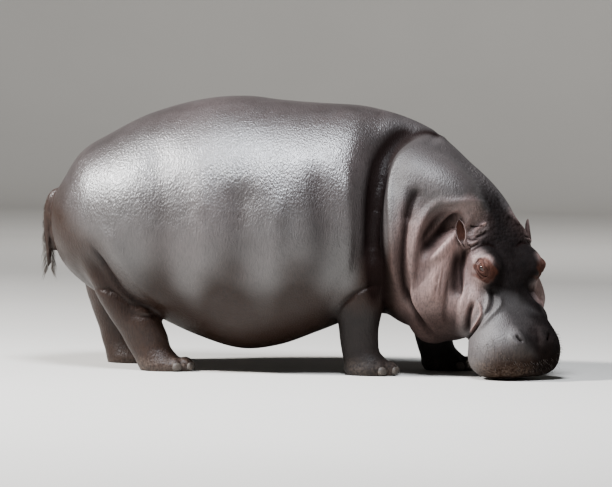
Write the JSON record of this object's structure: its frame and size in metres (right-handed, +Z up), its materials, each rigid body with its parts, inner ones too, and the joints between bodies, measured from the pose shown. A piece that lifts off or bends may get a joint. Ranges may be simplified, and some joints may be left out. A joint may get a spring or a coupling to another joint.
{
  "type": "grazing hippopotamus figure",
  "caption": "Life-size hippopotamus standing on all fours in a slow step, head hung to the floor and turned to its right, lips resting on the ground.",
  "frame": {"origin": "on the floor, in the middle of the figure's box", "axes": "+X the way the animal walks, +Y its left, +Z up"},
  "size_m": [2.7471, 1.1828, 1.439],
  "materials": {
    "hide": "thick bare grey-brown hide with a soft sheen, pinker in the folds and on the belly",
    "eye": "wet dark brown eyeball",
    "nail": "dull pale horn with dried mud"
  },
  "bodies": {
    "root": {"trunk": "hide", "neck": "hide", "head": "hide", "tail": "hide", "ear_right": "hide", "ear_left": "hide", "eye_right": "eye", "eye_left": "eye", "foreleg_right": "hide", "foreleg_left": "hide", "hindleg_right": "hide", "hindleg_left": "hide", "foreleg_right_nail_1": "nail", "foreleg_right_nail_2": "nail", "foreleg_right_nail_3": "nail", "foreleg_right_nail_4": "nail", "foreleg_left_nail_1": "nail", "foreleg_left_nail_2": "nail", "foreleg_left_nail_3": "nail", "foreleg_left_nail_4": "nail", "hindleg_right_nail_1": "nail", "hindleg_right_nail_2": "nail", "hindleg_right_nail_3": "nail", "hindleg_right_nail_4": "nail", "hindleg_left_nail_1": "nail", "hindleg_left_nail_2": "nail", "hindleg_left_nail_3": "nail", "hindleg_left_nail_4": "nail"}
  },
  "joints": []
}
